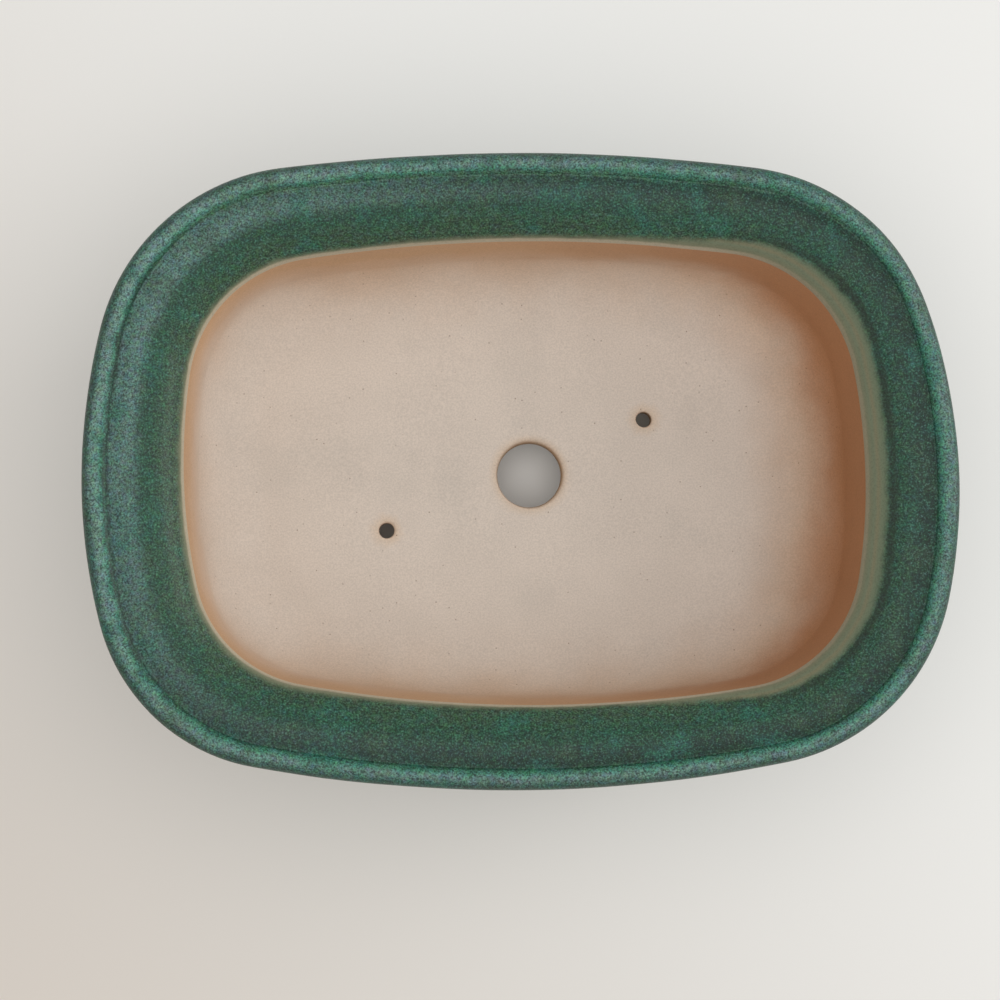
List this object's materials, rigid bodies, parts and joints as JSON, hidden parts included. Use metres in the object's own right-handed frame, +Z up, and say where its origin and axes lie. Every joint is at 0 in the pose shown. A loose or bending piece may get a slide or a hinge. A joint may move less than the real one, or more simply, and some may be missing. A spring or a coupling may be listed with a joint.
{
  "type": "bonsai pot",
  "caption": "Low flared bowed-rectangle stoneware plant pot with a rolled lip, green glaze, pierced floor and corner feet.",
  "frame": {"origin": "middle of the footprint, on the plane that the feet stand on", "axes": "+X along the length to the right, +Y along the width to the back, +Z up"},
  "size_m": [0.24, 0.175, 0.07],
  "materials": {
    "bare_clay": "unglazed buff stoneware, matte, fine sandy tooth and sparse iron specks",
    "flashed_clay": "unglazed stoneware, toasted warm brown by the fire, matte",
    "green_glaze": "dark grey-green satin glaze with fine teal and dark speckle, breaking lighter on edges",
    "thin_glaze": "the same glaze run thin and pale over the clay, satin"
  },
  "bodies": {
    "root": {"floor_slab": "bare_clay", "wall": "bare_clay", "seam_coil": "bare_clay", "rim": "flashed_clay", "lip_bead": "flashed_clay", "rim_glaze": "green_glaze", "lip_glaze": "thin_glaze", "wall_glaze": "green_glaze", "foot_front_left": "flashed_clay", "foot_front_right": "flashed_clay", "foot_back_left": "flashed_clay", "foot_back_right": "flashed_clay", "foot_glaze": "green_glaze"}
  },
  "joints": []
}
